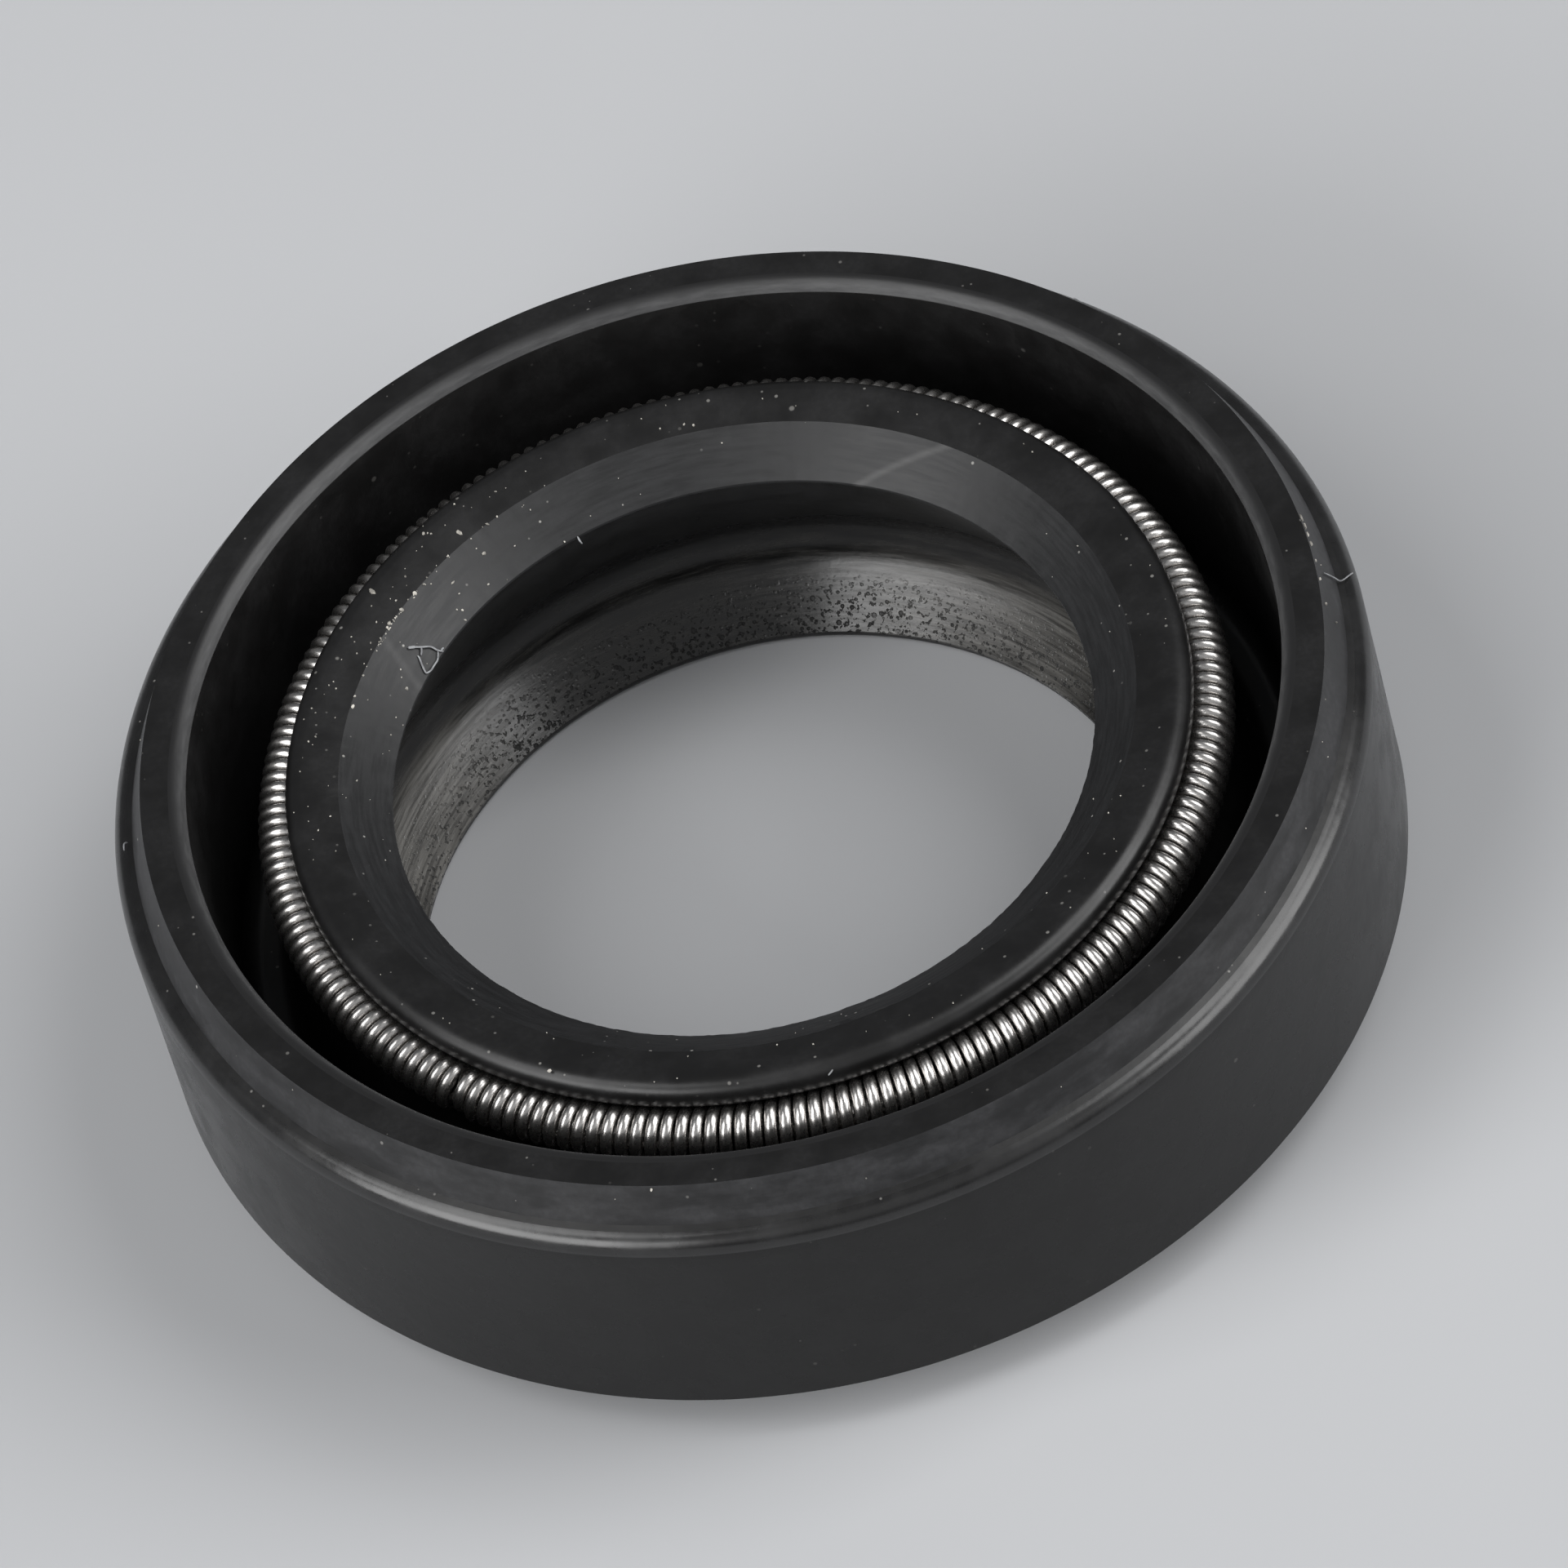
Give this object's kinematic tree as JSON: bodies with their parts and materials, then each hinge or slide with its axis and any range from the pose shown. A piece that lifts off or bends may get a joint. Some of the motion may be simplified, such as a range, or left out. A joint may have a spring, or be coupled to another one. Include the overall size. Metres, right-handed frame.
{
  "type": "radial shaft seal",
  "caption": "Rubber-covered rotary shaft seal with a steel case, a spring-loaded main lip and a dust lip, for sealing oil at a turning shaft where it leaves a housing.",
  "frame": {"origin": "centre of the heel, the flat face on the air side, where it crosses the shaft's axis", "axes": "+Z along the shaft's axis towards the oil side, where the groove and the garter spring are open; X and Y in the plane of the heel, turned so that the picture's view is from -Y"},
  "size_m": [0.025, 0.025, 0.007],
  "materials": {
    "rubber": "matte",
    "case_steel": "satin",
    "spring_steel": "bright"
  },
  "bodies": {
    "root": {"rubber_body": "rubber", "steel_case": "case_steel", "garter_spring": "spring_steel"}
  },
  "joints": []
}
